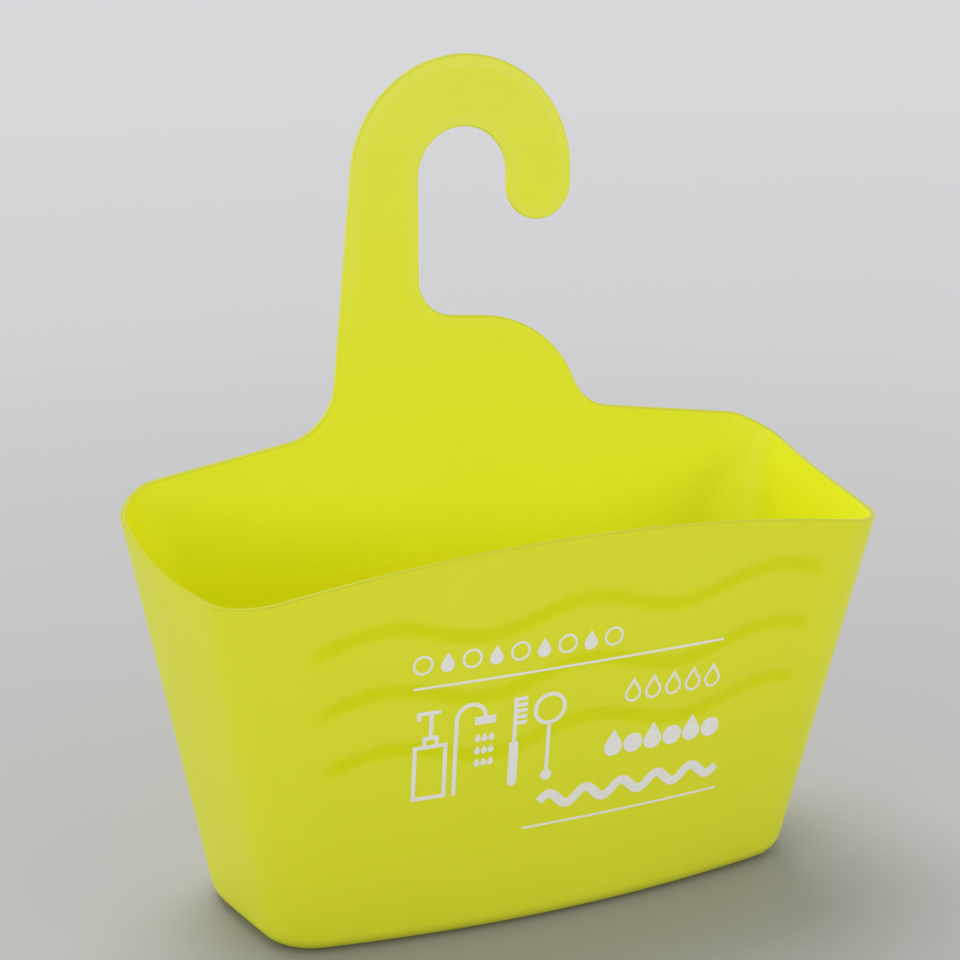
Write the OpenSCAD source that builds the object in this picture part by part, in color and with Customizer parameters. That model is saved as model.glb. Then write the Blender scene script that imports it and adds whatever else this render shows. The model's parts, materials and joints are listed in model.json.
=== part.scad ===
// Hanging shower caddy: a one-piece moulded basket whose flat back wall runs up
// into a neck with an open hook, and a white print on the bowed front wall.
// Millimetres. The front is -Y, the flat back is +Y and Z is up. The origin is
// on the ground, under the middle of the overall box.

/* [Basket plan at the base] */
// Width along the back wall
base_w_back = 236.5; // [200:0.5:250]
// Width along the front wall
base_w_front = 211; // [180:1:230]
// Depth at the front corners
base_d = 85.5; // [70:0.5:100]
// How far the front wall bows out at its middle
base_front_bow = 11; // [4:0.5:16]
// How far each end wall bows out at its middle
base_side_bow = 0.5; // [0:0.5:4]
// Radius of the two back corners
base_back_r = 34.5; // [20:0.5:38]
// Radius of the two front corners
base_front_r = 16.5; // [10:0.5:24]
// Radius of the rounded edge between the walls and the floor
base_edge_r = 7.5; // [5:0.5:9]

/* [Basket plan at the reference height] */
// Height at which the following plan holds
ref_h = 150; // [120:1:170]
// Width along the back wall
top_w_back = 275; // [250:1:290]
// Width along the front wall
top_w_front = 258.5; // [240:0.5:280]
// Depth at the front corners
top_d = 112.5; // [100:0.5:125]
// How far the front wall bows out at its middle
top_front_bow = 3; // [1:0.5:12]
// How far each end wall bows out at its middle
top_side_bow = 6.5; // [0:0.5:8]
// Radius of the two back corners
top_back_r = 16.5; // [12:0.5:36]
// Radius of the two front corners
top_front_r = 19.5; // [12:0.5:26]

/* [Rim] */
// Height of the rim at the two front corners
rim_front_z = 142.5; // [125:0.5:150]
// Rise of the front rim from its corners to its middle
rim_arch = 13; // [0:0.5:18]
// Height that the two straight slopes of the back rim reach on the centre line
roof_z = 179; // [165:1:185]
// Fall of the back rim for each millimetre out from the centre line
roof_slope = 0.156; // [0.1:0.002:0.2]
// How late the end rims climb from front to back, where 1 is a straight line
rim_climb = 3.4; // [1:0.1:4]

/* [Walls] */
// Thickness of the front wall, the end walls and the floor
wall = 2.2; // [1.6:0.1:3]
// Thickness of the back wall, the neck and the hook
back_wall = 3; // [2.4:0.1:4]

/* [Hook] */
// Radius of the seat that hangs over a shower arm
seat_r = 18.4; // [12:0.1:22]
// Outer radius of the hook
hook_r = 45.5; // [40:0.5:50]
// Sideways offset of the hook's centre from the basket's centre line
hook_x = 2.8; // [0:0.1:6]
// Height of the hook's centre
hook_z = 265.3; // [260:0.1:280]
// Straight length of the tip, from the height of the hook's centre to its round end
tip_run = 5.4; // [0:0.2:12]
// Lean of the neck's outer edge, in degrees
neck_lean = 5.6; // [3:0.1:8]
// Radius between the neck's outer edge and the back rim
neck_fillet = 23; // [15:0.5:30]
// Radius in the lower corner of the hook's gap
gap_fillet = 15; // [10:0.5:16]
// Height of the centre of that radius
gap_fillet_z = 226.5; // [226:0.5:232]
// Radius of the shoulder to the right of the gap
shoulder_r = 46.5; // [42:0.5:48]
// Sideways place of the shoulder's centre
shoulder_x = 7.6; // [6:0.1:10]
// Height of the shoulder's centre
shoulder_z = 164; // [162:0.5:165]
// Radius between the shoulder and the back rim
shoulder_fillet = 20.5; // [10:0.5:24]

/* [Floor] */
// Diameter of each drain hole
drain_d = 6; // [4:0.5:8]
// Distance between the drain holes in a row
drain_pitch_x = 32; // [24:1:36]
// Distance between the rows of drain holes
drain_pitch_y = 30; // [20:1:32]

/* [Print] */
// Thickness of the ink film with its overlap into the wall
ink_t = 0.25; // [0.15:0.05:0.4]
// Line width of the thin rules and outlines
fine_line = 0.9; // [0.6:0.1:1.2]
// Line width of the tall pictograms
icon_line = 1.5; // [1:0.1:2]
// Height of the tall pictograms
icon_h = 36; // [34:1:38]

/* [Hidden] */
$fn = 64;
lime = [0.82, 0.86, 0.20];
ink_white = [0.93, 0.93, 0.88];

// How finely each stretch of the plan is divided
corner_steps = 8;
span_steps = [2, 8, 24, 8];
edge_steps = 5;
// Depth that the ink reaches into the wall, so that film and wall touch everywhere
ink_sink = 0.08;
// Place of the first point of the front wall in the list of plan points
front_start = 3 * corner_steps + 2 + span_steps[0] - 1 + span_steps[1] - 1;

hook_c = [hook_x, hook_z];
roof_k = sqrt(1 + roof_slope * roof_slope);
// The seat is cut as a true cylinder, so the outline under it stays this much short
seat_stock = 1;
// On each side the gap is this much narrower than the seat
gap_lip = 0.1;
tip_r = (hook_r - seat_r + gap_lip) / 2;
tip_c = hook_c + [hook_r - tip_r, -tip_run];
arc_step = 4;

function mix(a, b, t) = a + (b - a) * t;
function unit(v) = v / norm(v);
function clamp01(v) = max(0, min(1, v));
function dir(a) = [cos(a), sin(a)];

// ---- plan of the basket ----

// Rounded corner of an outline at p, between its neighbours a and b
function corner(p, a, b, r) =
  let (u = unit(a - p), w = unit(b - p), half = acos(u * w) / 2,
       c = p + unit(u + w) * r / sin(half),
       s = p + u * r / tan(half) - c,
       a0 = atan2(s.y, s.x))
  [for (k = [0:corner_steps]) c + r * dir(a0 + (180 - 2 * half) * k / corner_steps)];

// Plan with straight walls, at the base for k = 0 and at ref_h for k = 1, moved
// in by i, and at the back wall by b
function straight_plan(k, i, b) =
  let (wb = mix(base_w_back, top_w_back, k) / 2 - i,
       wf = mix(base_w_front, top_w_front, k) / 2 - i,
       yf = i - mix(base_d, top_d, k),
       rb = mix(base_back_r, top_back_r, k) - i,
       rf = mix(base_front_r, top_front_r, k) - i,
       v = [[wb, -b], [-wb, -b], [-wf, yf], [wf, yf]],
       r = [rb, rb, rf, rf],
       c = [for (j = [0:3]) corner(v[j], v[(j + 3) % 4], v[(j + 1) % 4], r[j])])
  [for (j = [0:3]) each concat(c[j],
    [for (s = [1:span_steps[j] - 1])
      mix(c[j][corner_steps], c[(j + 1) % 4][0], s / span_steps[j])])];

// Share of the way from the front wall to the back wall
function backness(p, k, i, b) =
  let (yf = i - mix(base_d, top_d, k)) clamp01((p.y - yf) / (-b - yf));

// The same plan with its front wall and end walls bowed out
function plan(k, i, b) =
  let (wb = mix(base_w_back, top_w_back, k) / 2 - i,
       wf = mix(base_w_front, top_w_front, k) / 2 - i,
       fb = mix(base_front_bow, top_front_bow, k),
       sb = mix(base_side_bow, top_side_bow, k))
  [for (p = straight_plan(k, i, b))
    let (q = backness(p, k, i, b),
         side = min(1, abs(p.x) / mix(wf, wb, q)))
    [p.x + sign(p.x) * sb * 4 * q * (1 - q) * pow(side, 3),
     p.y - fb * clamp01(1 - pow(p.x / wf, 2)) * pow(1 - q, 3)]];

outer_base = straight_plan(0, 0, 0);
outer_top = straight_plan(1, 0, 0);

// Height of the rim over plan point j, whose walls run from a at the base to b
function rim_z(j, a, b) =
  let (q = backness(outer_top[j], 1, 0, 0),
       across = min(1, abs(outer_top[j].x) / (top_w_front / 2)),
       front = rim_front_z + rim_arch * (1 - across * across),
       back = (roof_z - roof_slope * abs(a.x))
         / (1 + roof_slope * (abs(b.x) - abs(a.x)) / ref_h))
  mix(front, back, pow(q, rim_climb));

// Ring of points at height z, and at the rim where z is undefined. pz is the
// height that the plan is taken at
function ring(i, b, pz, z) =
  let (lo = plan(0, i, b), hi = plan(1, i, b))
  [for (j = [0:len(lo) - 1])
    let (rz = rim_z(j, lo[j], hi[j]),
         p = mix(lo[j], hi[j], (is_undef(z) ? rz : pz) / ref_h))
    [p.x, p.y, is_undef(z) ? rz : z]];

// Rings of the shell: up the outside from the floor's edge, over the rim and
// down the inside
function shell_rings() =
  let (inner_r = base_edge_r - wall)
  concat(
    [for (s = [0:edge_steps])
      let (a = 90 * s / edge_steps,
           i = base_edge_r * (1 - sin(a)),
           z = base_edge_r * (1 - cos(a)))
      ring(i, i, z, z)],
    [ring(0, 0, 0, undef), ring(wall, back_wall, 0, undef)],
    [for (s = [edge_steps:-1:0])
      let (a = 90 * s / edge_steps,
           i = base_edge_r - inner_r * sin(a),
           b = mix(base_edge_r, back_wall, sin(a)),
           z = base_edge_r - inner_r * cos(a))
      ring(i, b, s == 0 ? 0 : z, z)]);

// ---- front wall ----

front_half = [-outer_base[front_start].x, -outer_top[front_start].x];
front_bow = [base_front_bow, top_front_bow];
front_w = [base_w_front, top_w_front];
front_d = [base_d, top_d];

// Depth of the front wall at level k, at the share u of its half width
function front_line(k, u) =
  -front_d[k] - front_bow[k] * (1 - pow(2 * u * front_half[k] / front_w[k], 2));

// Y of the front wall's outer face
function front_y(x, z) =
  let (t = z / ref_h, u = x / mix(front_half[0], front_half[1], t))
  mix(front_line(0, u), front_line(1, u), t);

// The basket's deepest point is the middle of the front rim
back_y = -front_y(0, rim_front_z + rim_arch) / 2;

// ---- neck and hook ----

function arc(c, r, a0, a1) =
  let (n = ceil(abs(a1 - a0) / arc_step))
  [for (k = [0:n]) c + r * dir(mix(a0, a1, k / n))];

neck_normal = dir(180 - neck_lean);
// Centre of the neck's fillet: it touches the neck's outer edge and the back rim
neck_c =
  let (lift = roof_z + neck_fillet * roof_k,
       x = (hook_r + neck_fillet + hook_x * neck_normal.x - (lift - hook_z) * neck_normal.y)
         / (neck_normal.x + roof_slope * neck_normal.y))
  [x, lift + roof_slope * x];

gap_c = [hook_x - seat_r + gap_lip + gap_fillet, gap_fillet_z];
shoulder_c = [shoulder_x, shoulder_z];
// Direction square to the line that joins the gap's fillet and the shoulder
gap_a =
  let (d = shoulder_c - gap_c)
  atan2(d.y, d.x) - acos(min(1, (gap_fillet + shoulder_r) / norm(d)));

// Centre of the fillet that touches the shoulder and the back rim
fillet_c =
  let (lift = roof_z + shoulder_fillet * roof_k,
       a = roof_k * roof_k,
       b = -2 * (shoulder_x + roof_slope * (lift - shoulder_z)),
       c = pow(shoulder_x, 2) + pow(lift - shoulder_z, 2)
         - pow(shoulder_r + shoulder_fillet, 2),
       x = (-b + sqrt(b * b - 4 * a * c)) / (2 * a))
  [x, lift - roof_slope * x];
fillet_a = atan2(shoulder_c.y - fillet_c.y, shoulder_c.x - fillet_c.x) + 360;
roof_a = atan(roof_slope);

hook_outline = concat(
  [[0, roof_z]],
  arc(neck_c, neck_fillet, -90 + roof_a, -neck_lean),
  arc(hook_c, hook_r, 180 - neck_lean, 0),
  arc(tip_c, tip_r, 0, -180),
  [[hook_x + seat_r - gap_lip, hook_z]],
  arc(hook_c, seat_r - seat_stock, 2 * arc_step, 180 - 2 * arc_step),
  [[hook_x - seat_r + gap_lip, hook_z]],
  arc(gap_c, gap_fillet, 180, gap_a + 360),
  arc(shoulder_c, shoulder_r, gap_a + 180, fillet_a - 180),
  arc(fillet_c, shoulder_fillet, fillet_a, 270 - roof_a));

// ---- helpers ----

// Closed skin over equal rings of points, joined from the last to the first
module ring_skin(rings) {
  n = len(rings[0]);
  m = len(rings);
  polyhedron(
    points = [for (r = rings) each r],
    faces = [for (l = [0:m - 1], j = [0:n - 1])
      let (a = l * n + j,
           b = l * n + (j + 1) % n,
           c = ((l + 1) % m) * n + (j + 1) % n,
           d = ((l + 1) % m) * n + j)
      each [[a, c, b], [a, d, c]]]);
}

// Stands flat ink shapes on the front wall, about the point x, z
module on_front(x, z) {
  lean = atan((front_y(x, z - 1) - front_y(x, z + 1)) / 2);
  turn = atan((front_y(x + 1, z) - front_y(x - 1, z)) / 2);
  translate([x, back_y + front_y(x, z), z])
    rotate([90 + lean, 0, turn])
      translate([0, 0, -ink_sink]) linear_extrude(ink_t) children();
}

// Ink line of width w that follows the front wall along a path of x, z points
module ink_ribbon(path, w) {
  last = len(path) - 1;
  rings = [for (k = [0:last])
    let (d = unit(path[min(k + 1, last)] - path[max(k - 1, 0)]),
         side = w / 2 * [-d.y, d.x],
         p = path[k] - side,
         q = path[k] + side,
         yp = back_y + front_y(p.x, p.y) + ink_sink,
         yq = back_y + front_y(q.x, q.y) + ink_sink)
    [[p.x, yp, p.y], [p.x, yp - ink_t, p.y], [q.x, yq - ink_t, q.y], [q.x, yq, q.y]]];
  polyhedron(
    points = [for (r = rings) each r],
    faces = concat(
      [[0, 1, 2], [0, 2, 3]],
      [for (l = [0:last - 1], j = [0:3])
        let (a = 4 * l + j, b = 4 * l + (j + 1) % 4)
        each [[a, a + 4, b + 4], [a, b + 4, b]]],
      let (e = 4 * last) [[e, e + 2, e + 1], [e, e + 3, e + 2]]));
}

module ring_2d(r, w) {
  difference() {
    circle(r = r);
    circle(r = r - w);
  }
}

module frame_2d(size, w) {
  difference() {
    square(size);
    translate([w, w]) square(size - 2 * [w, w]);
  }
}

// Solid water drop that stands on the origin
module drop_2d(h) {
  r = 0.34 * h;
  touch = asin(r / (h - r));
  translate([0, r]) circle(r = r);
  polygon([[0, r], [r * cos(touch), r + r * sin(touch)], [0, h],
           [-r * cos(touch), r + r * sin(touch)]]);
}

module drop_outline_2d(h, w) {
  difference() {
    drop_2d(h);
    translate([0, w]) drop_2d(h - 3.2 * w);
  }
}

// ---- the moulding ----

module basket_wall() {
  color(lime) translate([0, back_y, 0]) ring_skin(shell_rings());
}

module drain_floor() {
  drain_y = -(base_d + base_front_bow) / 2;
  color(lime) translate([0, back_y, 0]) difference() {
    linear_extrude(wall) polygon(plan(0, base_edge_r, base_edge_r));
    for (row = [-0.5, 0.5], k = [-2:2])
      translate([k * drain_pitch_x, drain_y + row * drain_pitch_y, -1])
        cylinder(d = drain_d, h = wall + 2);
  }
}

module hook_plate() {
  color(lime) translate([0, back_y, 0]) rotate([90, 0, 0]) difference() {
    linear_extrude(back_wall) polygon(hook_outline);
    translate([hook_x, hook_z, -1]) cylinder(r = seat_r, h = back_wall + 2);
  }
}

// ---- the print ----

module print_rule_upper() {
  color(ink_white) ink_ribbon([for (k = [0:20]) [mix(-63.5, 60, k / 20), 105.7]], fine_line);
}

module print_rule_lower() {
  color(ink_white) ink_ribbon([for (k = [0:14]) [mix(-18.5, 64, k / 14), 42]], fine_line);
}

// Bubbles and drops in turn
module print_bubble_row() {
  pitch = 9.2;
  size = 7.6;
  color(ink_white) for (k = [0:8])
    on_front(-60.5 + k * pitch, 111) {
      if (k % 2 == 0) translate([0, size / 2]) ring_2d(size / 2, fine_line);
      else drop_2d(size);
    }
}

module print_pump_bottle() {
  w = 13;
  body_h = 0.62 * icon_h;
  neck_h = 0.1 * icon_h;
  stem_h = icon_h - body_h - neck_h;
  color(ink_white) on_front(-56, 60.7) translate([-w / 2, 0]) {
    frame_2d([w, body_h], icon_line);
    translate([w / 2 - 3, body_h - icon_line]) frame_2d([6, neck_h + icon_line], icon_line);
    translate([(w - icon_line) / 2, body_h + neck_h - 0.1]) square([icon_line, stem_h]);
    translate([1, icon_h - icon_line]) square([w / 2 + 2.5, icon_line]);
    translate([1, icon_h - 3.5]) square([icon_line, 3.5]);
  }
}

module print_shower_head() {
  r = 5.5;
  pipe_h = icon_h - r;
  color(ink_white) on_front(-41, 60.7) translate([-r, 0]) {
    translate([-icon_line / 2, 0]) square([icon_line, pipe_h]);
    translate([r, pipe_h]) intersection() {
      ring_2d(r + icon_line / 2, icon_line);
      translate([-2 * r, 0]) square([4 * r, 2 * r]);
    }
    translate([2 * r - 4, pipe_h - 3]) square([8, 3.2]);
    for (row = [0:2], k = [-1:1])
      translate([2 * r + 2.6 * k, pipe_h - 10 - 5 * row]) drop_2d(3.4);
  }
}

module print_toothbrush() {
  w = 3.6;
  color(ink_white) on_front(-24, 60.7) {
    translate([0, w / 2]) circle(d = w);
    translate([-w / 2, w / 2]) square([w, icon_h * 0.45]);
    translate([-icon_line / 2, w]) square([icon_line, icon_h - w]);
    for (k = [0:4])
      translate([0, icon_h - icon_line - 2.4 * k]) square([4.6, icon_line]);
  }
}

module print_hand_mirror() {
  r = 6.5;
  color(ink_white) on_front(-10.5, 60.7) {
    translate([0, icon_h - r]) ring_2d(r, icon_line);
    translate([-icon_line / 2, 3]) square([icon_line, icon_h - 2 * r - 3 + icon_line / 2]);
    translate([0, 2.2]) circle(r = 2.2);
  }
}

module print_thin_drops() {
  color(ink_white) for (k = [0:4])
    on_front(23 + 8.4 * k, 86.6) drop_outline_2d(10, fine_line);
}

module print_bold_drops() {
  size = 11;
  color(ink_white) for (k = [0:5])
    on_front(16.5 + 8.3 * k, 65.5) {
      if (k % 2 == 0) drop_2d(size);
      else translate([0, 0.36 * size]) circle(r = 0.36 * size);
    }
}

module print_bold_wave() {
  color(ink_white) ink_ribbon(
    [for (k = [0:60]) [mix(-12.5, 62.5, k / 60), 52 + 2.6 * sin(360 * 5 * k / 60)]], 3.6);
}

basket_wall();
drain_floor();
hook_plate();
print_rule_upper();
print_rule_lower();
print_bubble_row();
print_pump_bottle();
print_shower_head();
print_toothbrush();
print_hand_mirror();
print_thin_drops();
print_bold_drops();
print_bold_wave();
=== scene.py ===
"""The looks of a hanging shower caddy: one moulding in lime polypropylene and its white print.

Metres, +Z up, front -Y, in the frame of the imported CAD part. The moulding is one closed
mesh: the tapered basket, its rounded rim, and the neck and hook that grow out of the back
wall. It stands for the three CAD solids that the same moulding is kept as in the record.
"""
import json
import math

import bmesh
import bpy
import numpy as np
from mathutils import Matrix, Vector
from mathutils.geometry import delaunay_2d_cdt


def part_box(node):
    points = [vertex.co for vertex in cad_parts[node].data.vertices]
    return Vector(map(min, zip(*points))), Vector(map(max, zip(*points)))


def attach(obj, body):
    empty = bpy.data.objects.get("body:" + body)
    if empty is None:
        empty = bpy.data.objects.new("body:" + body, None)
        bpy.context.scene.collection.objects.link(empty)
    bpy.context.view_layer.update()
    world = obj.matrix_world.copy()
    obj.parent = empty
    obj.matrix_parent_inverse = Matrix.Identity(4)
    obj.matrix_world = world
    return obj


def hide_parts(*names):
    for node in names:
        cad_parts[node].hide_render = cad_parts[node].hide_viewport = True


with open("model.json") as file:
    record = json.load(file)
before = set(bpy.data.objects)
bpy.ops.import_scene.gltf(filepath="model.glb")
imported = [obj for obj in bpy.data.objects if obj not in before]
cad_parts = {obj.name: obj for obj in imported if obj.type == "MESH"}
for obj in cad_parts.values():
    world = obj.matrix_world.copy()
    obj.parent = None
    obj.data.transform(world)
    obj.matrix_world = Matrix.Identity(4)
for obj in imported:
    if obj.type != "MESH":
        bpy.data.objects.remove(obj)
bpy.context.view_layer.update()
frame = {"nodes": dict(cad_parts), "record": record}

# ---- sizes that the frame gives ----

MM = 0.001
wall_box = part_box("basket_wall")
floor_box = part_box("drain_floor")
hook_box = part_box("hook_plate")
seat = next(m for m in frame["record"]["mounts"] if m["name"] == "arm_seat")

BACK_Y = wall_box[1].y
WALL = floor_box[1].z
BACK_WALL = hook_box[1].y - hook_box[0].y
ROOF_Z = wall_box[1].z
HOOK_C = np.array([seat["pos_m"][0], seat["pos_m"][2]])
SEAT_R = seat["dims"]["r_mm"] * MM
HOOK_R = hook_box[1].z - HOOK_C[1]

# ---- driving sizes of the moulding ----

# Plan at the base and at REF_H: widths at the back and the front, depth at the front
# corners, bow of the front wall and of the end walls, radii of the corners
REF_H = 150 * MM
W_BACK = np.array([236.5, 275]) * MM
W_FRONT = np.array([211, 258.5]) * MM
DEPTH = np.array([85.5, 112.5]) * MM
FRONT_BOW = np.array([11, 3]) * MM
SIDE_BOW = np.array([0.5, 6.5]) * MM
BACK_R = np.array([34.5, 16.5]) * MM
FRONT_R = np.array([16.5, 19.5]) * MM
BASE_EDGE_R = 7.5 * MM

# Rim: height at the front corners, rise of the arch over them, slope of the back rim to
# both sides, how late the end rims climb to the back, and the rounding of its edges
RIM_FRONT_Z = 142.5 * MM
RIM_ARCH = 13 * MM
ROOF_SLOPE = 0.156
RIM_CLIMB = 3.4
RIM_EDGE_R = 0.9 * MM

# Neck and hook: straight run before the tip, lean of the neck's left edge, its fillet,
# the lower left fillet of the gap, the round shoulder, and the fillet beside it
TIP_RUN = 5.4 * MM
NECK_LEAN = math.radians(5.6)
NECK_FILLET = 23 * MM
GAP_FILLET = 15 * MM
GAP_FILLET_Z = 226.5 * MM
SHOULDER_R = 46.5 * MM
SHOULDER_C = np.array([7.6, 164]) * MM
SHOULDER_FILLET = 20.5 * MM

# The front face of the hook falls away towards its edge, over this width, by this much
# and along a curve of this power. There is no fall at the lower height and the whole fall
# at the upper one. The fringe looks paler with a painted sheen, wholly as far in as FRINGE_W.
CROWN_W = 5.5 * MM
CROWN_FALL = 0.25 * MM
CROWN_POWER = 1.5
CROWN_Z = np.array([190, 235]) * MM
FRINGE_W = 4.3 * MM

DRAIN_R = 3 * MM
DRAIN_PITCH = np.array([32, 30]) * MM
DRAIN_EDGE_R = 0.4 * MM
DRAIN_COLUMNS = 5

# Three shallow wavy channels cross the front wall: their heights, the places of their
# crests, and how far they reach from the middle. The rest they share.
WAVE_Z = np.array([127.3, 103.4, 80.2]) * MM
WAVE_X = np.array([1.8, 2.6, 5.6]) * MM
WAVE_END = np.array([105, 101, 98]) * MM
WAVE_LENGTH = 76.5 * MM
WAVE_SWING = 4 * MM
WAVE_SLOPE = 0.018
WAVE_HALF_W = 2.8 * MM
WAVE_SOFT = 1.3 * MM
WAVE_END_SOFT = 9 * MM
WAVE_DEPTH = 0.08 * MM
# Points this far behind the front face still belong to it
OUTER_SKIN = 0.3 * MM

# ---- how finely the moulding is divided ----

CORNER_STEPS = 14
# The plan's spans between its corners: back, left end, front, right end
SPAN_STEPS = [36, 22, 110, 22]
EDGE_STEPS = 7
CROWN_STEPS = 8
HALF_WAVE_ROWS = 5
ROWS_BETWEEN_WAVES = 4
ROWS_BELOW_WAVES = 18
ROWS_ABOVE_WAVES = 5
# The outer wall's rows ride up and down with the waves, up to RIDE_SHORT from the sharp
# ends of the front wall, fading over RIDE_SOFT, and no further back than RIDE_BACK of the
# depth. Below the waves they stay level for RIDE_LEVEL / (1 + RIDE_LEVEL) of the way up.
RIDE_SHORT = 4 * MM
RIDE_SOFT = 14 * MM
RIDE_BACK = 0.3
RIDE_LEVEL = 0.2
ARC_STEP = 1.6 * MM
LINE_STEP = 2.5 * ARC_STEP
INNER_ROWS = 16
HOLE_STEPS = 32
HOLE_EDGE_STEPS = 3
# Width of the narrow faces that keep a flat face flat beside a rounded edge
SUPPORT = 0.45 * MM
# The moulding's points nearer than WELD become one, and edges shorter than TINY go
WELD = 2e-6
TINY = 1e-7
DELAUNAY_NEAR = 1e-9
# Where a loop has a sharp corner, its inset is at most twice as wide
NARROWEST = 0.5


def mix(a, b, t):
    return a + (b - a) * t


def unit(v):
    return v / np.linalg.norm(v)


def smooth(t):
    t = np.clip(t, 0, 1)
    return t * t * (3 - 2 * t)


def around(angle):
    return np.stack([np.cos(angle), np.sin(angle)], -1)


def add_object(name, data):
    made = bpy.data.objects.new(name, data)
    bpy.context.scene.collection.objects.link(made)
    return made


# ---- plan of the basket ----


def corner(p, a, b, r):
    """Rounded corner at p between its neighbours a and b."""
    u, w = unit(a - p), unit(b - p)
    half = math.acos(u @ w) / 2
    centre = p + unit(u + w) * r / math.sin(half)
    start = p + u * r / math.tan(half) - centre
    first = math.atan2(start[1], start[0])
    share = np.linspace(0, 1, CORNER_STEPS + 1)
    return centre + r * around(first + (math.pi - 2 * half) * share)


def straight_plan(k, inset, back_inset):
    """Plan with straight walls, at the base for k = 0 and at REF_H for k = 1."""
    wb = W_BACK[k] / 2 - inset
    wf = W_FRONT[k] / 2 - inset
    yf = inset - DEPTH[k]
    v = np.array([[wb, -back_inset], [-wb, -back_inset], [-wf, yf], [wf, yf]])
    r = np.array([BACK_R[k], BACK_R[k], FRONT_R[k], FRONT_R[k]]) - inset
    corners = [corner(v[j], v[j - 1], v[(j + 1) % 4], r[j]) for j in range(4)]
    line = []
    for j in range(4):
        share = np.arange(1, SPAN_STEPS[j])[:, None] / SPAN_STEPS[j]
        line += [corners[j], mix(corners[j][-1], corners[(j + 1) % 4][0], share)]
    return np.concatenate(line)


def plan(k, inset, back_inset):
    """The same plan with its front wall and end walls bowed out."""
    p = straight_plan(k, inset, back_inset)
    wb = W_BACK[k] / 2 - inset
    wf = W_FRONT[k] / 2 - inset
    yf = inset - DEPTH[k]
    q = np.clip((p[:, 1] - yf) / (-back_inset - yf), 0, 1)
    side = np.minimum(1, np.abs(p[:, 0]) / mix(wf, wb, q))
    x = p[:, 0] + np.sign(p[:, 0]) * SIDE_BOW[k] * 4 * q * (1 - q) * side**3
    bow = np.clip(1 - (p[:, 0] / wf) ** 2, 0, 1) * (1 - q) ** 3
    return np.stack([x, p[:, 1] - FRONT_BOW[k] * bow], 1)


OUTER_TOP = straight_plan(1, 0, 0)
BACKNESS = np.clip((OUTER_TOP[:, 1] + DEPTH[1]) / DEPTH[1], 0, 1)
ACROSS = np.minimum(1, np.abs(OUTER_TOP[:, 0]) / (W_FRONT[1] / 2))


def rim_z(low, high):
    """Height of the rim over every plan point, for walls from low to high."""
    front = RIM_FRONT_Z + RIM_ARCH * (1 - ACROSS**2)
    out = np.abs(high[:, 0]) - np.abs(low[:, 0])
    back = (ROOF_Z - ROOF_SLOPE * np.abs(low[:, 0])) / (1 + ROOF_SLOPE * out / REF_H)
    return mix(front, back, BACKNESS**RIM_CLIMB)


class WallSide:
    """The outside or the inside of the basket's walls, as upright lines of the plan."""

    def __init__(self, inset, back_inset):
        self.low = plan(0, inset, back_inset)
        self.high = plan(1, inset, back_inset)
        self.rim = rim_z(self.low, self.high)

    def at(self, j, z):
        """Points at heights z on the upright lines j."""
        xy = mix(self.low[j], self.high[j], (z / REF_H)[..., None])
        return np.concatenate([xy + [0, BACK_Y], z[..., None]], -1)


outer_side = WallSide(0, 0)
inner_side = WallSide(WALL, BACK_WALL)
LINES = len(outer_side.low)
# The upright lines in order: from the back left corner round the front to the back
# right corner, and then the lines under the flat back wall
back_from = CORNER_STEPS
back_to = CORNER_STEPS + SPAN_STEPS[0]
RING = np.r_[back_to:LINES, 0 : back_from + 1]
BACK = np.arange(back_from + 1, back_to)
FRONT_HALF = [-straight_plan(k, 0, 0)[back_to + 2 * CORNER_STEPS + SPAN_STEPS[1], 0]
              for k in (0, 1)]


def front_y(x, z):
    """Y of the front wall's outer face without its waves."""
    t = z / REF_H
    u = x / mix(FRONT_HALF[0], FRONT_HALF[1], t)
    line = [-DEPTH[k] - FRONT_BOW[k] * (1 - (2 * u * FRONT_HALF[k] / W_FRONT[k]) ** 2)
            for k in (0, 1)]
    return BACK_Y + mix(line[0], line[1], t)


# ---- waves of the front wall ----


def wave_phase_x(level):
    """Place of the wave's crest at a level, between those of the three channels."""
    return np.interp(level, WAVE_Z[::-1], WAVE_X[::-1])


def wave_rise(x, level):
    turn = 2 * math.pi * (x - wave_phase_x(level)) / WAVE_LENGTH
    return WAVE_SLOPE * x + WAVE_SWING * np.cos(turn)


def wave_share(x, z):
    """1 in the middle of a wavy channel, 0 away from it."""
    share = np.zeros(np.broadcast(x, z).shape)
    for k in range(3):
        turn = 2 * math.pi * (x - WAVE_X[k]) / WAVE_LENGTH
        off = z - WAVE_Z[k] - WAVE_SLOPE * x - WAVE_SWING * np.cos(turn)
        slope = WAVE_SLOPE - WAVE_SWING * 2 * math.pi / WAVE_LENGTH * np.sin(turn)
        off = np.abs(off) / np.sqrt(1 + slope**2)
        across = 1 - smooth((off - WAVE_HALF_W + WAVE_SOFT) / (2 * WAVE_SOFT))
        along = smooth((WAVE_END[k] - np.abs(x)) / WAVE_END_SOFT)
        share = np.maximum(share, across * along)
    return share


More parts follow.
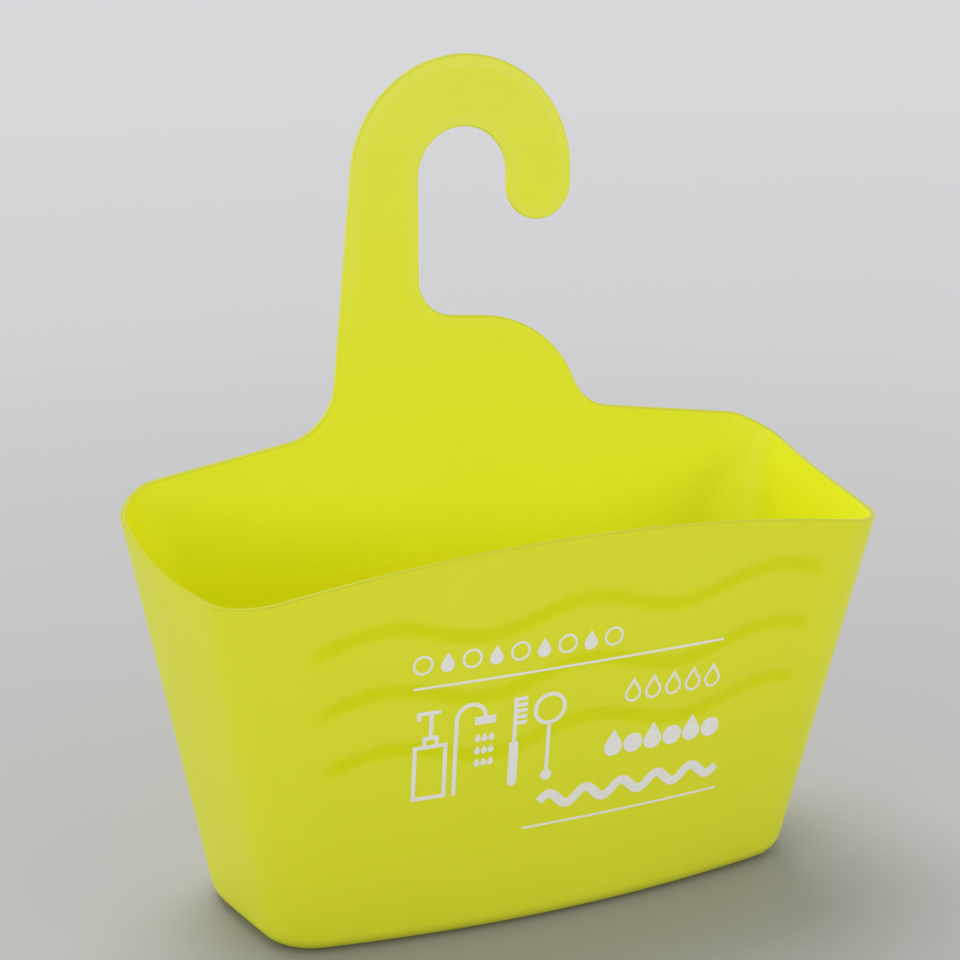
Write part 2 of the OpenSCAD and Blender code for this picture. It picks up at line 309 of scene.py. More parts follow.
def outer_rows():
    """Heights of the outer wall's rows on each line of the ring. Near the front wall the
    rows ride up and down with the waves, so that the channels' edges follow them."""
    edge = np.linspace(-1, 1, 2 * HALF_WAVE_ROWS + 1) * (WAVE_HALF_W + WAVE_SOFT)
    levels = [WAVE_Z[-1] + edge]
    for k in (1, 0):
        gap = np.linspace(levels[-1][-1], WAVE_Z[k] + edge[0], ROWS_BETWEEN_WAVES + 2)[1:-1]
        levels += [gap, WAVE_Z[k] + edge]
    middle = np.concatenate(levels)
    below = np.linspace(0, 1, ROWS_BELOW_WAVES + 1)[:-1]
    above = np.linspace(0, 1, ROWS_ABOVE_WAVES + 1)[1:]
    p = OUTER_TOP[RING]
    on_front = smooth((W_FRONT[1] / 2 - RIDE_SHORT - np.abs(p[:, 0])) / RIDE_SOFT)
    on_front = on_front * (BACKNESS[RING] < RIDE_BACK)
    top = outer_side.rim[RING] - RIM_EDGE_R - SUPPORT
    rows = []
    for line, x in enumerate(p[:, 0]):
        low = mix(BASE_EDGE_R, middle[0], below)
        high = mix(middle[-1], top[line], above)
        start = smooth(below * (1 + RIDE_LEVEL) - RIDE_LEVEL)
        fade = np.concatenate([start, np.ones(len(middle)), 1 - above])
        level = np.concatenate([low, middle, high])
        inside = np.clip(level, middle[0], middle[-1])
        x_here = x * mix(W_FRONT[0] / W_FRONT[1], 1, level / REF_H)
        rows.append(level + on_front[line] * fade * wave_rise(x_here, inside))
    return np.array(rows)


# ---- outline of the neck and the hook ----


def arc(centre, r, first, last, bulge):
    """Points of an arc with directions into the plate. bulge is 1 where it curves out."""
    n = max(3, math.ceil(abs(last - first) * r / ARC_STEP))
    out = around(np.linspace(first, last, n + 1))
    return centre + r * out, -bulge * out


def hook_outline():
    """The outline from the left slope of the back rim over the hook to the right slope:
    points x, z and unit directions into the plate."""
    roof_a = math.atan(ROOF_SLOPE)
    roof_k = math.hypot(1, ROOF_SLOPE)
    right = math.pi / 2
    normal = around(np.array(math.pi - NECK_LEAN))
    lift = ROOF_Z + NECK_FILLET * roof_k
    x = HOOK_R + NECK_FILLET + HOOK_C[0] * normal[0] - (lift - HOOK_C[1]) * normal[1]
    x = x / (normal[0] + ROOF_SLOPE * normal[1])
    neck_c = np.array([x, lift + ROOF_SLOPE * x])
    tip_r = (HOOK_R - SEAT_R) / 2
    tip_c = HOOK_C + [SEAT_R + tip_r, -TIP_RUN]
    gap_c = np.array([HOOK_C[0] - SEAT_R + GAP_FILLET, GAP_FILLET_Z])
    d = SHOULDER_C - gap_c
    gap_a = math.atan2(d[1], d[0]) - math.acos((GAP_FILLET + SHOULDER_R) / np.linalg.norm(d))
    lift = ROOF_Z + SHOULDER_FILLET * roof_k
    a = roof_k**2
    b = -2 * (SHOULDER_C[0] + ROOF_SLOPE * (lift - SHOULDER_C[1]))
    c = SHOULDER_C[0] ** 2 + (lift - SHOULDER_C[1]) ** 2 - (SHOULDER_R + SHOULDER_FILLET) ** 2
    x = (-b + math.sqrt(b * b - 4 * a * c)) / (2 * a)
    fillet_c = np.array([x, lift - ROOF_SLOPE * x])
    d = SHOULDER_C - fillet_c
    fillet_a = math.atan2(d[1], d[0]) + 2 * math.pi
    # The shoulder leaves the gap's fillet where the line between their centres says
    shoulder_from = gap_a + math.pi
    return [
        arc(neck_c, NECK_FILLET, roof_a - right, -NECK_LEAN, -1),
        arc(HOOK_C, HOOK_R, math.pi - NECK_LEAN, 0, 1),
        arc(tip_c, tip_r, 0, -math.pi, 1),
        arc(HOOK_C, SEAT_R, 0, math.pi, -1),
        arc(gap_c, GAP_FILLET, math.pi, gap_a + 2 * math.pi, -1),
        arc(SHOULDER_C, SHOULDER_R, shoulder_from, fillet_a - math.pi, 1),
        arc(fillet_c, SHOULDER_FILLET, fillet_a, 3 * right - roof_a, -1),
    ]


def stretch(a, b, step):
    """Points and directions between the end a of one arc and the start b of the next."""
    n = max(1, math.ceil(np.linalg.norm(b[0] - a[0]) / step))
    share = np.arange(1, n)[:, None] / n
    direction = mix(a[1], b[1], share)
    return mix(a[0], b[0], share), direction


def plate_outline(side):
    """The outline of the flat back wall above the shared corner lines, from the left
    corner to the right one: points x, z and directions into the plate."""
    ends = []
    for j in (back_to, back_from):
        top = side.at(np.array([j]), side.rim[[j]])[0]
        low = side.at(np.array([j]), side.rim[[j]] - CROWN_W)[0]
        ends.append((top[[0, 2]], (low - top)[[0, 2]] / CROWN_W))
    points, directions = [], []
    last = ends[0]
    points.append(last[0][None])
    directions.append(last[1][None])
    for p, d in hook_outline():
        gap = np.linalg.norm(p[0] - last[0])
        if gap > TINY:
            between = stretch(last, (p[0], d[0]), LINE_STEP)
            points += [between[0], p]
            directions += [between[1], d]
        else:
            points.append(p[1:])
            directions.append(d[1:])
        last = (p[-1], d[-1])
    between = stretch(last, ends[1], LINE_STEP)
    points += [between[0], ends[1][0][None]]
    directions += [between[1], ends[1][1][None]]
    return np.concatenate(points), np.concatenate(directions)


# ---- mesh of the moulding ----


OUTSIDE = np.array([0, 0, 0])
INSIDE = np.array([0, 0, 1])


class Skin:
    """Collects points and faces. Patches meet in equal points, which are welded. Every
    point carries three marks for the plastic: how far it is the top of a rim, which gets
    painted shade, how far it is the thin fringe of the hook's face, which gets a painted
    sheen, and whether it is on the inside, where painted shade deepens it towards the floor."""

    def __init__(self):
        self.points = []
        self.marks = []
        self.faces = []
        self.count = 0

    def add(self, points, marks):
        points = np.asarray(points, float)
        index = np.arange(self.count, self.count + len(points))
        self.points.append(points)
        self.marks.append(np.broadcast_to(marks, points.shape))
        self.count += len(points)
        return index

    def sheet(self, grid, marks, closed=False):
        """Quads over a grid of points, given as rows."""
        grid = np.asarray(grid, float)
        rows, columns = grid.shape[:2]
        marks = np.broadcast_to(marks, grid.shape)
        index = self.add(grid.reshape(-1, 3), marks.reshape(-1, 3)).reshape(rows, columns)
        if closed:
            index = np.concatenate([index, index[:, :1]], 1)
        a, b = index[:-1, :-1], index[:-1, 1:]
        c, d = index[1:, 1:], index[1:, :-1]
        self.faces += np.stack([a, b, c, d], -1).reshape(-1, 4).tolist()

    def flat(self, loops, lift, marks):
        """Fills the flat region inside the first loop and outside the others. A narrow
        strip of quads runs along each loop, so that the region shades flat."""
        inner = []
        for n, loop in enumerate(loops):
            loop = np.asarray(loop, float)
            inset = inset_loop(loop, SUPPORT, n == 0)
            self.sheet([lift(loop), lift(inset)], marks, closed=True)
            inner.append(inset)
        points, triangles = triangulate(inner)
        middle = points[triangles].mean(1)
        keep = inside(middle, inner[0])
        for loop in inner[1:]:
            keep &= ~inside(middle, loop)
        index = self.add(lift(points), marks)
        self.faces += index[triangles[keep]].tolist()

    def mesh(self, name):
        points = np.concatenate(self.points)
        data = bpy.data.meshes.new(name)
        data.from_pydata(points.tolist(), [], self.faces)
        marks = data.attributes.new("marks", "FLOAT_VECTOR", "POINT")
        marks.data.foreach_set("vector", np.concatenate(self.marks).astype(np.float32).ravel())
        bm = bmesh.new()
        bm.from_mesh(data)
        bmesh.ops.remove_doubles(bm, verts=bm.verts, dist=WELD)
        bmesh.ops.dissolve_degenerate(bm, edges=bm.edges, dist=TINY)
        bmesh.ops.recalc_face_normals(bm, faces=bm.faces)
        bm.to_mesh(data)
        bm.free()
        data.shade_smooth()
        return data


def triangulate(loops, more=np.empty((0, 2))):
    """Points and triangles over the loops and some more points. The triangles keep to the
    edges of the loops."""
    edges, start = [], 0
    for loop in loops:
        n = len(loop)
        edges += [(start + k, start + (k + 1) % n) for k in range(n)]
        start += n
    points = [Vector(p) for p in np.concatenate([*loops, more])]
    made = delaunay_2d_cdt(points, edges, [], 1, DELAUNAY_NEAR)
    return np.array([list(p) for p in made[0]]), np.array(made[2])


def loop_area(loop):
    x, y = loop[:, 0], loop[:, 1]
    return 0.5 * np.sum(x * np.roll(y, -1) - np.roll(x, -1) * y)


def inset_loop(loop, by, inward):
    """The loop moved by a distance into its inside, or out of it."""
    before = loop - np.roll(loop, 1, 0)
    after = np.roll(loop, -1, 0) - loop
    before = before / np.linalg.norm(before, axis=1)[:, None]
    after = after / np.linalg.norm(after, axis=1)[:, None]
    tangent = before + after
    tangent = tangent / np.linalg.norm(tangent, axis=1)[:, None]
    normal = np.stack([-tangent[:, 1], tangent[:, 0]], 1)
    widen = 1 / np.maximum(NARROWEST, np.abs(np.sum(tangent * after, 1)))
    sign = math.copysign(1, loop_area(loop)) * (1 if inward else -1)
    return loop + normal * (by * sign * widen)[:, None]


def inside(points, loop):
    """Which points lie inside the loop."""
    x, y = points[:, 0][:, None], points[:, 1][:, None]
    x1, y1 = loop[:, 0][None], loop[:, 1][None]
    x2, y2 = np.roll(x1, -1, 1), np.roll(y1, -1, 1)
    crosses = (y1 > y) != (y2 > y)
    at = x1 + (y - y1) / np.where(y2 == y1, 1, y2 - y1) * (x2 - x1)
    return np.sum(crosses & (x < at), 1) % 2 == 1


def edge_profile(thick, fall):
    """Section of the rim: distances below the outline, and places across the wall from
    its outside to its inside, where the face has fallen by fall at the edge."""
    a = np.linspace(0, math.pi / 2, EDGE_STEPS + 1)
    down = RIM_EDGE_R * (1 - np.sin(a))
    over = RIM_EDGE_R * (1 - np.cos(a))
    share = np.linspace(0, 1, CROWN_STEPS + 1)[1:]
    crown_down = mix(RIM_EDGE_R, CROWN_W, share)
    crown_over = thick - fall * (1 - share) ** CROWN_POWER
    d = np.concatenate([[RIM_EDGE_R + SUPPORT], down, down[::-1][1:], crown_down])
    s = np.concatenate([[0], over, (thick - fall - over)[::-1][1:], crown_over])
    return d, s


def edge_marks(up, hook):
    """The marks along the section, where its outline faces up and is the hook's by so
    much. Where it faces up the plastic gets painted shade, and on the hook's fringe a painted
    sheen."""
    lift = np.sin(np.linspace(0, math.pi / 2, EDGE_STEPS + 1))
    down = np.linspace(RIM_EDGE_R, CROWN_W, CROWN_STEPS + 1)[1:]
    # How far the outline faces up, where the plastic gets painted shade
    top = np.concatenate([[0], lift, lift[::-1][1:], 0 * down])
    face = np.concatenate([np.zeros(EDGE_STEPS + 2), np.ones(EDGE_STEPS + CROWN_STEPS)])
    # How far in the hook's fringe reaches, where the plastic gets a painted sheen
    near = smooth((CROWN_W - down) / (CROWN_W - FRINGE_W))
    near = np.concatenate([np.ones(2 * EDGE_STEPS + 2), near])
    return np.stack([top * max(up, 0), face * near * hook, face], 1)


def rim_strip(skin):
    """The rounded edge along the whole rim and round the neck and hook."""
    columns, marks = [], []
    z_out, z_in = outer_side.rim[RING], inner_side.rim[RING]
    for n, j in enumerate(RING):
        line = np.array([j])
        top_out = outer_side.at(line, z_out[[n]])[0]
        top_in = inner_side.at(line, z_in[[n]])[0]
        thick = np.linalg.norm((top_in - top_out)[:2])
        d, s = edge_profile(thick, 0)
        out = outer_side.at(np.full(len(d), j), z_out[n] - d)
        into = inner_side.at(np.full(len(d), j), z_in[n] - d)
        columns.append(mix(out, into, (s / thick)[:, None]))
        marks.append(edge_marks(1, 0))
    out_p, out_d = plate_outline(outer_side)
    in_p, in_d = plate_outline(inner_side)
    hook = smooth((out_p[:, 1] - CROWN_Z[0]) / (CROWN_Z[1] - CROWN_Z[0]))
    for n in range(len(out_p) - 2, 0, -1):
        d, s = edge_profile(BACK_WALL, CROWN_FALL * hook[n])
        out = out_p[n] + d[:, None] * out_d[n]
        into = in_p[n] + d[:, None] * in_d[n]
        xz = mix(out, into, (s / BACK_WALL)[:, None])
        columns.append(np.stack([xz[:, 0], BACK_Y - s, xz[:, 1]], 1))
        marks.append(edge_marks(-out_d[n][1], hook[n]))
    skin.sheet(np.swapaxes(columns, 0, 1), np.swapaxes(marks, 0, 1), closed=True)


def outer_wall(skin):
    rows = outer_rows()
    grid = outer_side.at(RING[:, None], rows)
    grid = grid.transpose(1, 0, 2)
    groove = wave_share(grid[..., 0], grid[..., 2]) * (grid[..., 1] < 0)
    grid[..., 1] += WAVE_DEPTH * groove
    skin.sheet(grid, OUTSIDE)
    return rows


def inner_wall(skin):
    top = inner_side.rim[RING] - CROWN_W
    rows = mix(BASE_EDGE_R, top[:, None], np.linspace(0, 1, INNER_ROWS + 1))
    skin.sheet(inner_side.at(RING[:, None], rows).transpose(1, 0, 2), INSIDE)
    return rows


def back_faces(skin, outer, inner):
    """The flat faces of the back wall with the neck and hook."""
    for side, rows, y, edge, marks in (
        (outer_side, outer, BACK_Y, RIM_EDGE_R + SUPPORT, OUTSIDE),
        (inner_side, inner, BACK_Y - BACK_WALL, CROWN_W, INSIDE),
    ):
        points, directions = plate_outline(side)
        top = (points + edge * directions)[::-1]
        left = side.at(np.full(rows.shape[1], back_to), rows[0])[:, [0, 2]]
        right = side.at(np.full(rows.shape[1], back_from), rows[-1])[:, [0, 2]]
        base_z = np.full(len(BACK), BASE_EDGE_R)
        base = side.at(BACK, base_z)[::-1][:, [0, 2]]
        loop = np.concatenate([top[1:-1], left[::-1], base, right])
        skin.flat([loop], lambda p, y=y: np.stack([p[:, 0], np.full(len(p), y), p[:, 1]], 1),
                  marks)


def base_edges(skin):
    """The rounded edges between walls and floor, outside and inside, and the floor."""
    order = np.r_[RING, BACK]
    rings = ([], [])
    for a in np.linspace(0, math.pi / 2, EDGE_STEPS + 1):
        inset = BASE_EDGE_R * (1 - math.sin(a))
        z = BASE_EDGE_R * (1 - math.cos(a))
        rings[0].append(plan_ring(inset, inset, z)[order])
        inset = BASE_EDGE_R - (BASE_EDGE_R - WALL) * math.sin(a)
        back_inset = mix(BASE_EDGE_R, BACK_WALL, math.sin(a))
        z = BASE_EDGE_R - (BASE_EDGE_R - WALL) * math.cos(a)
        rings[1].append(plan_ring(inset, back_inset, z)[order])
    holes = drain_holes(skin)
    for grid, marks in zip(rings, (OUTSIDE, INSIDE)):
        skin.sheet(grid, marks, closed=True)
        z = grid[0][0, 2]
        skin.flat([grid[0][:, :2]] + holes,
                  lambda p, z=z: np.concatenate([p, np.full((len(p), 1), z)], 1), marks)


def plan_ring(inset, back_inset, z):
    """The plan at height z as points."""
    side = mix(plan(0, inset, back_inset), plan(1, inset, back_inset), z / REF_H)
    return np.concatenate([side + [0, BACK_Y], np.full((len(side), 1), z)], 1)


def drain_holes(skin):
    """The walls of the drain holes, with rounded edges. Gives the holes' outlines."""
    middle = BACK_Y - (DEPTH[0] + FRONT_BOW[0]) / 2
    a = np.linspace(0, math.pi / 2, HOLE_EDGE_STEPS + 1)
    wider = DRAIN_EDGE_R * (1 - np.sin(a))
    up = DRAIN_EDGE_R * (1 - np.cos(a))
    radii = DRAIN_R + np.concatenate([wider, wider[::-1]])
    heights = np.concatenate([up, WALL - up[::-1]])
    turn = around(np.linspace(0, 2 * math.pi, HOLE_STEPS + 1)[:-1])
    outlines = []
    for row in (-0.5, 0.5):
        for k in range(DRAIN_COLUMNS):
            column = k - (DRAIN_COLUMNS - 1) / 2
            centre = np.array([column * DRAIN_PITCH[0], middle + row * DRAIN_PITCH[1]])
            grid = [np.concatenate([centre + r * turn, np.full((HOLE_STEPS, 1), z)], 1)
                    for r, z in zip(radii, heights)]
            skin.sheet(grid, OUTSIDE, closed=True)
            outlines.append(centre + radii[0] * turn)
    return outlines


def make_moulding():
    skin = Skin()
    rim_strip(skin)
    outer = outer_wall(skin)
    inner = inner_wall(skin)
    back_faces(skin, outer, inner)
    base_edges(skin)
    mesh = skin.mesh("moulding")
    wave = mesh.attributes.new("wave", "FLOAT", "POINT")
    co = np.array([v.co for v in mesh.vertices])
    share = wave_share(co[:, 0], co[:, 2])
    outside = co[:, 1] < front_y(co[:, 0], co[:, 2]) + WAVE_DEPTH + OUTER_SKIN
    wave.data.foreach_set("value", (share * outside).astype(np.float32))
    return add_object("moulding", mesh)


# ---- the print ----

# The film reaches this far out of the wall and into it, in triangles of about this size
INK_PROUD = 0.06 * MM
INK_SINK = 0.06 * MM
INK_GRAIN = 1.2 * MM
# A CAD film's front faces stand out of the wall by more than this and face the front,
# and its points nearer than CAP_WELD become one
CAP_PROUD = 0.1 * MM
CAP_FACING = -0.8
CAP_WELD = 1e-6
# Shorter edges of its outline are left out
SHORT_EDGE = 0.04 * MM


def cap_loops(node):
    """The outlines x, z of a CAD print node, from the front faces of its film."""
    bm = bmesh.new()
    bm.from_mesh(frame["nodes"][node].data)
    bmesh.ops.remove_doubles(bm, verts=bm.verts, dist=CAP_WELD)
    cap = set()
    for face in bm.faces:
        c = face.calc_center_median()
        if front_y(c.x, c.z) - c.y > CAP_PROUD and face.normal.y < CAP_FACING:
            cap.add(face)
    after = {}
    for edge in bm.edges:
        sides = [loop for loop in edge.link_loops if loop.face in cap]
        if len(sides) == 1:
            after[sides[0].vert.index] = sides[0].link_loop_next.vert.index
    place = {v.index: (v.co.x, v.co.z) for v in bm.verts}
    bm.free()
    loops = []
    while after:
        first = next(iter(after))
        loop, at = [], first
        while at in after:
            loop.append(place[at])
            at = after.pop(at)
        loops.append(np.array(loop))
    return loops


def divided(loop, step):
    """The loop without its tiny edges, and with its long edges divided."""
    length = np.linalg.norm(loop - np.roll(loop, 1, 0), axis=1)
    loop = loop[length > SHORT_EDGE]
    points = []
    for a, b in zip(loop, np.roll(loop, -1, 0)):
        n = max(1, math.ceil(np.linalg.norm(b - a) / step))
        points += [mix(a, b, k / n) for k in range(n)]
    return np.array(points)


def inside_all(points, loops):
    """Which points lie in the area that the loops enclose, holes left out."""
    return sum(inside(points, loop).astype(int) for loop in loops) % 2 == 1


def film_area(loops):
    """Points and triangles of the area that the loops enclose."""
    rim = np.concatenate(loops)
    low, high = rim.min(0), rim.max(0)
    grid = np.meshgrid(*[np.arange(low[k], high[k], INK_GRAIN) for k in (0, 1)])
    grid = np.stack(grid, -1).reshape(-1, 2)
    grid = grid[inside_all(grid, loops)]
    gaps = [np.min(np.linalg.norm(rim - p, axis=1)) for p in grid]
    grid = grid[np.array(gaps, float) > 0.5 * INK_GRAIN]
    points, triangles = triangulate(loops, grid)
    keep = inside_all(points[triangles].mean(1), loops)
    return points, triangles[keep]


def ink_film(node):
    """A film of ink with the outline of a CAD print node, laid on the wall and into the
    waves that cross it."""
    points, triangles = film_area([divided(loop, INK_GRAIN) for loop in cap_loops(node)])
    x, z = points[:, 0], points[:, 1]
    wall = front_y(x, z) + WAVE_DEPTH * wave_share(x, z)
    n = len(points)
    corners = np.concatenate([np.stack([x, wall - INK_PROUD, z], 1),
                              np.stack([x, wall + INK_SINK, z], 1)])
    ways = [(t[k], t[(k + 1) % 3]) for t in triangles.tolist() for k in range(3)]
    known = set(ways)
    faces = triangles.tolist() + (triangles[:, ::-1] + n).tolist()
    faces += [(b, a, a + n, b + n) for a, b in ways if (b, a) not in known]
    mesh = bpy.data.meshes.new(node)
    mesh.from_pydata(corners.tolist(), [], faces)
    bm = bmesh.new()
    bm.from_mesh(mesh)
    loose = [v for v in bm.verts if not v.link_faces]
    bmesh.ops.delete(bm, geom=loose, context="VERTS")
    bmesh.ops.recalc_face_normals(bm, faces=bm.faces)
    bm.to_mesh(mesh)
    bm.free()
    return add_object("film_" + node, mesh)


# ---- materials ----

# The plastic drifts between two colours, and turns to others for painted light: a painted
# sheen where it looks pale, painted shade inside towards the floor and, by its marks, on
# the top of a rim, and a deeper colour in a wave that is painted for the sheen it lacks.
# The ink drifts between two colours, and the floor goes through three, from under the
# caddy outwards, as painted shade that is darkest under the caddy.
LIME = ((0.826, 0.860, 0.030, 1), (0.846, 0.880, 0.036, 1))
# Painted sheen, up on the hook and in its fringe
LIME_PAINTED_SHEEN = (0.858, 0.884, 0.115, 1)
# Painted shade inside, towards the floor
LIME_PAINTED_SHADE = (0.808, 0.818, 0.010, 1)
# A deeper colour in the waves, painted for the sheen that they lack
LIME_WAVE_NO_SHEEN = (0.780, 0.825, 0.004, 1)
# Painted shade on the up-facing tops of the rims and the hook's edges
LIME_TOP_SHADE = (0.43, 0.445, 0.010, 1)
LIME_ROUGH = (0.36, 0.44)
WAVE_POLISH = -0.03
LIME_IOR = 1.49
LIME_SHINE = 0.17
INK = ((0.93, 0.92, 0.85, 1), (0.96, 0.95, 0.90, 1))
INK_ROUGH = (0.45, 0.6)
# The floor darkens towards the caddy with painted shade
FLOOR_SHADE_UNDER = (0.352, 0.346, 0.345, 1)
FLOOR_SHADE_NEAR = (0.428, 0.427, 0.434, 1)
FLOOR_FAR = (0.458, 0.457, 0.463, 1)
FLOOR_SHADE_R = (0.1, 1.0)
FLOOR_FAR_R = (0.8, 2.6)
FLOOR_ROUGH = 0.8

# A painted sheen makes the plastic paler by this share with height, from the first height
# to the second, and by this share in the fringe of the hook
SHEEN_Z = (0.205, 0.285)
SHEEN_HIGH = 0.40
SHEEN_FRINGE = 0.27
# Inside, painted shade makes it deeper towards the floor, from the first height to the
# second. Both heights fall by the lean below, in metres for every metre to the right, and
# they rise by the rise below towards the ends, between the two squares of the distance
# from the middle.
SHADE_Z = (0.140, 0.104)
SHADE_LEAN = 0.14
SHADE_RISE = 0.04
SHADE_ENDS = (0.0144, 0.0190)


def new_material(name):
    material = bpy.data.materials.new(name)
    material.use_nodes = True
    tree = material.node_tree
    shader = tree.nodes["Principled BSDF"]
    return material, tree, shader


def object_place(tree):
    """The object's own coordinates."""
    return tree.nodes.new("ShaderNodeTexCoord").outputs["Object"]


def mark(tree, name):
    """The outputs of a node that reads values stored in the mesh."""
    node = tree.nodes.new("ShaderNodeAttribute")
    node.attribute_name = name
    return node.outputs


def noise(tree, scale, detail=2.0):
    """3D noise over the object's own coordinates."""
    node = tree.nodes.new("ShaderNodeTexNoise")
    node.inputs["Scale"].default_value = scale
    node.inputs["Detail"].default_value = detail
    tree.links.new(object_place(tree), node.inputs["Vector"])
    return node.outputs["Fac"]


def ramp(tree, value, low, high, to_low, to_high):
    node = tree.nodes.new("ShaderNodeMapRange")
    node.inputs["From Min"].default_value = low
    node.inputs["From Max"].default_value = high
    node.inputs["To Min"].default_value = to_low
    node.inputs["To Max"].default_value = to_high
    tree.links.new(value, node.inputs["Value"])
    return node.outputs["Result"]


def cloudy(tree, scale, detail, low, high):
    """A noise whose middle part is spread from low to high."""
    return ramp(tree, noise(tree, scale, detail), 0.3, 0.7, low, high)


def blend_colour(tree, share, a, b):
    node = tree.nodes.new("ShaderNodeMix")
    node.data_type = "RGBA"
    for name, value in (("A", a), ("B", b)):
        socket = [s for s in node.inputs if s.name == name and s.type == "RGBA"][0]
        if isinstance(value, tuple):
            socket.default_value = value
        else:
            tree.links.new(value, socket)
    factor = [s for s in node.inputs if s.name == "Factor" and s.type == "VALUE"][0]
    tree.links.new(share, factor)
    return [s for s in node.outputs if s.type == "RGBA"][0]


def bump(tree, height, distance, strength, before=None):
    node = tree.nodes.new("ShaderNodeBump")
    node.inputs["Distance"].default_value = distance
    node.inputs["Strength"].default_value = strength
    tree.links.new(height, node.inputs["Height"])
    if before is not None:
        tree.links.new(before, node.inputs["Normal"])
    return node.outputs["Normal"]


def reckon(tree, how, a, b):
    """The sum, difference or product of two values."""
    node = tree.nodes.new("ShaderNodeMath")
    node.operation = how
    for socket, value in zip(node.inputs, (a, b)):
        if isinstance(value, float):
            socket.default_value = value
        else:
            tree.links.new(value, socket)
    return node.outputs[0]


def xyz(tree, vector):
    node = tree.nodes.new("ShaderNodeSeparateXYZ")
    tree.links.new(vector, node.inputs[0])
    return node.outputs


def lime_plastic():
    """Lime polypropylene. A painted sheen makes its colour paler up on the hook and in its
    fringe. Painted shade makes it deeper on the tops of the rims and towards the floor inside,
    and in the waves a deeper colour is painted for the sheen that they lack."""
    material, tree, shader = new_material("lime_polypropylene")
    wave = mark(tree, "wave")["Fac"]
    top, fringe, inner = xyz(tree, mark(tree, "marks")["Vector"])
    x, _, z = xyz(tree, object_place(tree))
    base = blend_colour(tree, cloudy(tree, 14.0, 3.0, 0.0, 1.0), *LIME)
    # Painted sheen: paler up on the hook and in its fringe
    painted_sheen = reckon(tree, "ADD", ramp(tree, z, *SHEEN_Z, 0.0, SHEEN_HIGH),
                  reckon(tree, "MULTIPLY", fringe, SHEEN_FRINGE))
    base = blend_colour(tree, painted_sheen, base, LIME_PAINTED_SHEEN)
    # Painted shade: inside, the colour deepens towards the floor, more on the left
    ends = ramp(tree, reckon(tree, "MULTIPLY", x, x), *SHADE_ENDS, 0.0, SHADE_RISE)
    level = reckon(tree, "ADD", z, reckon(tree, "MULTIPLY", x, SHADE_LEAN))
    level = reckon(tree, "SUBTRACT", level, ends)
    painted_shade = reckon(tree, "MULTIPLY", inner, ramp(tree, level, *SHADE_Z, 0.0, 1.0))
    base = blend_colour(tree, painted_shade, base, LIME_PAINTED_SHADE)
    # Painted lack of sheen: the waves' colour is deepened
    base = blend_colour(tree, wave, base, LIME_WAVE_NO_SHEEN)
    # Painted shade on the up-facing tops of the rounded rims and the hook's edges
    base = blend_colour(tree, top, base, LIME_TOP_SHADE)
    tree.links.new(base, shader.inputs["Base Color"])
    rough = reckon(tree, "ADD", cloudy(tree, 900.0, 2.0, *LIME_ROUGH),
                   reckon(tree, "MULTIPLY", wave, WAVE_POLISH))
    tree.links.new(rough, shader.inputs["Roughness"])
    swim = bump(tree, noise(tree, 22.0), distance=0.0006, strength=0.25)
    grain = bump(tree, noise(tree, 1600.0, detail=1.0), distance=0.00002, strength=0.25,
                 before=swim)
    tree.links.new(grain, shader.inputs["Normal"])
    shader.inputs["IOR"].default_value = LIME_IOR
    shader.inputs["Specular IOR Level"].default_value = LIME_SHINE
    return material


def white_ink():
    material, tree, shader = new_material("white_ink")
    base = blend_colour(tree, cloudy(tree, 260.0, 3.0, 0.0, 1.0), *INK)
    tree.links.new(base, shader.inputs["Base Color"])
    rough = cloudy(tree, 700.0, 2.0, *INK_ROUGH)
    tree.links.new(rough, shader.inputs["Roughness"])
    grain = bump(tree, noise(tree, 1500.0), distance=0.00002, strength=0.4)
    tree.links.new(grain, shader.inputs["Normal"])
    return material


def floor_paint():
    """Pale paint, a little darker round the caddy with painted shade."""
    material, tree, shader = new_material("pale_floor")
    apart = tree.nodes.new("ShaderNodeVectorMath")
    apart.operation = "LENGTH"
    tree.links.new(object_place(tree), apart.inputs[0])
    near = ramp(tree, apart.outputs["Value"], *FLOOR_SHADE_R, 0.0, 1.0)
    far = ramp(tree, apart.outputs["Value"], *FLOOR_FAR_R, 0.0, 1.0)
    # Painted shade, darkest under the caddy and fading outwards
    base = blend_colour(tree, near, FLOOR_SHADE_UNDER, FLOOR_SHADE_NEAR)
    base = blend_colour(tree, far, base, FLOOR_FAR)
    tree.links.new(base, shader.inputs["Base Color"])
    shader.inputs["Roughness"].default_value = FLOOR_ROUGH
    return material


# ---- stage, light and camera ----

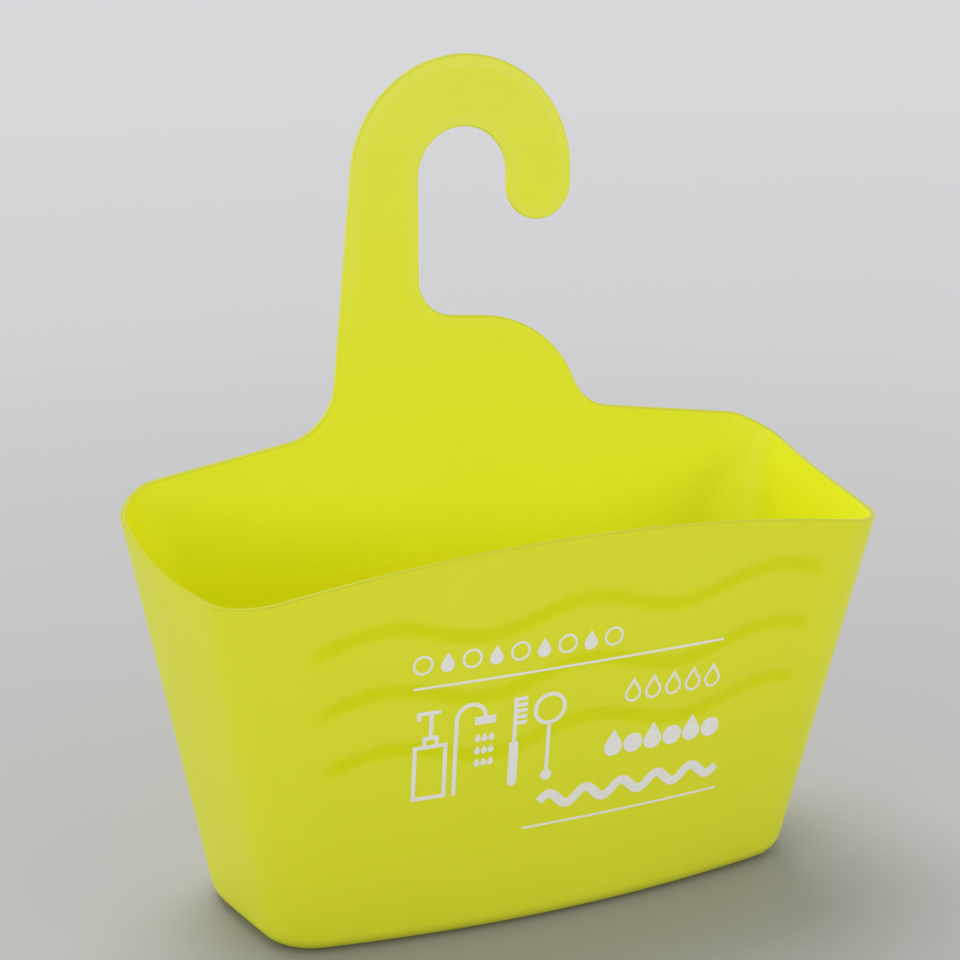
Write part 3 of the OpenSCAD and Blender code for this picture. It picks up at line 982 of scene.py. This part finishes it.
VIEW_FROM = Vector((-0.34377, -0.72193, 0.39481))
VIEW_YAW = math.radians(24.45)
VIEW_PITCH = math.radians(16.35)
LENS = 84.525
SENSOR_W = 36
FLOOR_R = 14
FLOOR_STEPS = 96
STUDIO = (0.96, 0.97, 1.0, 1)
STUDIO_POWER = 0.76


def make_camera():
    data = bpy.data.cameras.new("camera")
    data.lens = LENS
    data.sensor_width = SENSOR_W
    camera = add_object("camera", data)
    turn = Matrix.Rotation(-VIEW_YAW, 4, "Z") @ Matrix.Rotation(math.pi / 2 - VIEW_PITCH, 4, "X")
    camera.matrix_world = Matrix.Translation(VIEW_FROM) @ turn
    bpy.context.scene.camera = camera


def make_floor():
    bm = bmesh.new()
    bmesh.ops.create_circle(bm, cap_ends=True, radius=FLOOR_R, segments=FLOOR_STEPS)
    mesh = bpy.data.meshes.new("floor")
    bm.to_mesh(mesh)
    bm.free()
    floor = add_object("floor", mesh)
    mesh.materials.append(floor_paint())


def far_light(name, azimuth, height, width, power):
    """A broad distant light. Azimuth 0 is in front of the caddy and 90 on its right; the
    angles are in degrees."""
    turn, lift = math.radians(azimuth), math.radians(height)
    data = bpy.data.lights.new(name, "SUN")
    data.energy = power
    data.angle = math.radians(width)
    lamp = add_object(name, data)
    way = Vector((math.sin(turn) * math.cos(lift), -math.cos(turn) * math.cos(lift),
                  math.sin(lift)))
    lamp.rotation_euler = way.to_track_quat("Z", "Y").to_euler()


def make_lights():
    world = bpy.data.worlds.new("studio")
    bpy.context.scene.world = world
    world.use_nodes = True
    back = world.node_tree.nodes["Background"]
    back.inputs["Color"].default_value = STUDIO
    back.inputs["Strength"].default_value = STUDIO_POWER
    far_light("ceiling", azimuth=180, height=65, width=40, power=2.05)
    far_light("left", azimuth=-70, height=12, width=20, power=0.45)
    far_light("right", azimuth=45, height=16, width=25, power=0.40)


# ---- putting it together ----

make_camera()
make_floor()
make_lights()

moulding = make_moulding()
moulding.data.materials.append(lime_plastic())
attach(moulding, "root")
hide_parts("basket_wall", "drain_floor", "hook_plate")

ink = white_ink()
for node in sorted(n for n in frame["nodes"] if n.startswith("print_")):
    film = ink_film(node)
    film.data.materials.append(ink)
    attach(film, "root")
    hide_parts(node)

bpy.context.scene.view_settings.view_transform = "Standard"
